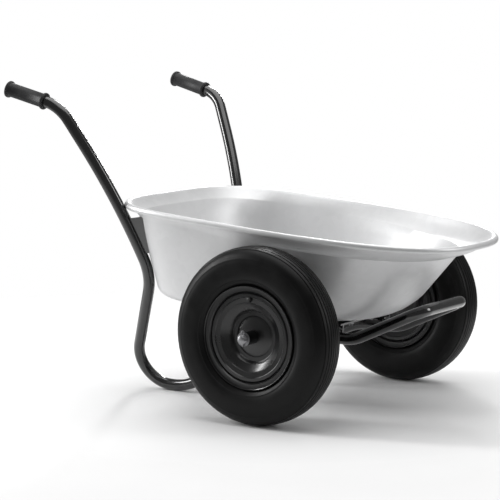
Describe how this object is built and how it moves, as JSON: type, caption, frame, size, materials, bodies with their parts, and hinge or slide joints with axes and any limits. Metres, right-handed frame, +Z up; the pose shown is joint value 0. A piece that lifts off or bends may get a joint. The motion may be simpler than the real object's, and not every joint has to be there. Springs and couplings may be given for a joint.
{
  "type": "wheelbarrow",
  "caption": "Two-wheeled garden wheelbarrow: a deep pressed steel tub on a bent black tube frame, with splayed handles and air-filled wheels on one axle.",
  "frame": {"origin": "on the ground under the middle of the whole barrow's length and width", "axes": "+X forwards, from the grips to the tub's nose; +Y to the left of the person pushing; +Z up, off the ground"},
  "size_m": [1.0755, 0.787, 0.7413],
  "materials": {
    "galvanised_sheet": "satin galvanised sheet",
    "steel_wire": "plain drawn wire",
    "black_tube": "gloss black powder coat",
    "zinc": "bright zinc plate",
    "grip_rubber": "matt dark grey",
    "tyre": "satin black",
    "butyl": "matt black",
    "black_rim": "satin black powder coat",
    "nylon": "natural nylon",
    "brass": "bright",
    "black_plastic": "matt black"
  },
  "bodies": {
    "barrow": {"tub": "galvanised_sheet", "rim_wire": "steel_wire", "side_tube_right": "black_tube", "side_tube_left": "black_tube", "front_loop": "black_tube", "joint_sleeve_right": "zinc", "joint_sleeve_left": "zinc", "gusset_right": "black_tube", "gusset_left": "black_tube", "saddle_rear": "black_tube", "saddle_front": "black_tube", "tub_studs": "zinc", "tub_nuts": "zinc", "grip_right": "grip_rubber", "grip_left": "grip_rubber", "axle": "zinc", "axle_bracket_right": "black_tube", "axle_bracket_left": "black_tube", "axle_collar_right": "zinc", "axle_collar_left": "zinc", "axle_washer_right": "zinc", "axle_washer_left": "zinc", "split_pin_right": "zinc", "split_pin_left": "zinc"},
    "wheel_right": {"tyre_right": "tyre", "inner_tube_right": "butyl", "rim_right": "black_rim", "disc_outer_right": "black_rim", "disc_inner_right": "black_rim", "hub_sleeve_right": "black_rim", "hub_dome_outer_right": "black_rim", "hub_dome_inner_right": "black_rim", "bush_outer_right": "nylon", "bush_inner_right": "nylon", "valve_right": "brass", "valve_cap_right": "black_plastic"},
    "wheel_left": {"tyre_left": "tyre", "inner_tube_left": "butyl", "rim_left": "black_rim", "disc_outer_left": "black_rim", "disc_inner_left": "black_rim", "hub_sleeve_left": "black_rim", "hub_dome_outer_left": "black_rim", "hub_dome_inner_left": "black_rim", "bush_outer_left": "nylon", "bush_inner_left": "nylon", "valve_left": "brass", "valve_cap_left": "black_plastic"}
  },
  "joints": [
    {"name": "wheel_right_spin", "type": "hinge", "parent": "barrow", "child": "wheel_right", "pos_m": [0.15726, -0.32646, 0.2], "axis": [0, 1, 0], "continuous": true},
    {"name": "wheel_left_spin", "type": "hinge", "parent": "barrow", "child": "wheel_left", "pos_m": [0.15726, 0.32646, 0.2], "axis": [0, 1, 0], "continuous": true}
  ]
}
